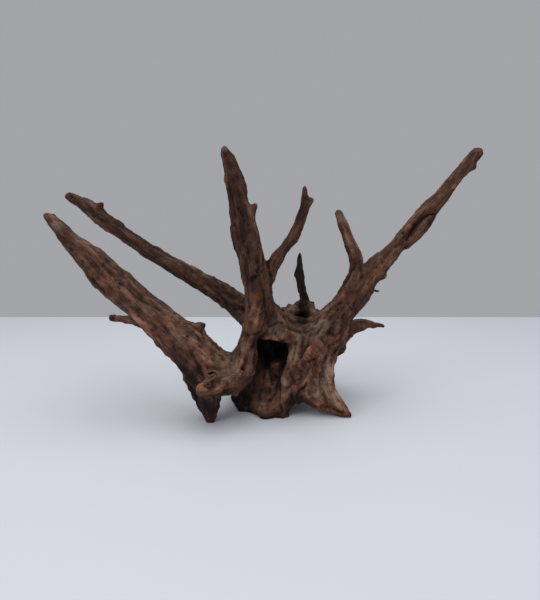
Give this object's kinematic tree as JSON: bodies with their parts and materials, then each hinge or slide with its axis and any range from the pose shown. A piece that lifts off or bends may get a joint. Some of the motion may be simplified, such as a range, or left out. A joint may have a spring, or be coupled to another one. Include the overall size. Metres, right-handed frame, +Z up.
{
  "type": "driftwood root stump",
  "caption": "Dark water-worn root stump with a cave in front, long branching limbs, a ragged crown and root feet to stand on.",
  "frame": {"origin": "on the plane the feet rest on, under the middle of the overall box", "axes": "+Z up; +X to the viewer's right along the longest extent; +Y away from the viewer; the cave opens towards -Y"},
  "size_m": [0.4642, 0.176, 0.2655],
  "materials": {
    "bark_brown_wood": "weathered, matt, ridged along the grain"
  },
  "bodies": {
    "root": {"corbo_wood": "bark_brown_wood"}
  },
  "joints": []
}
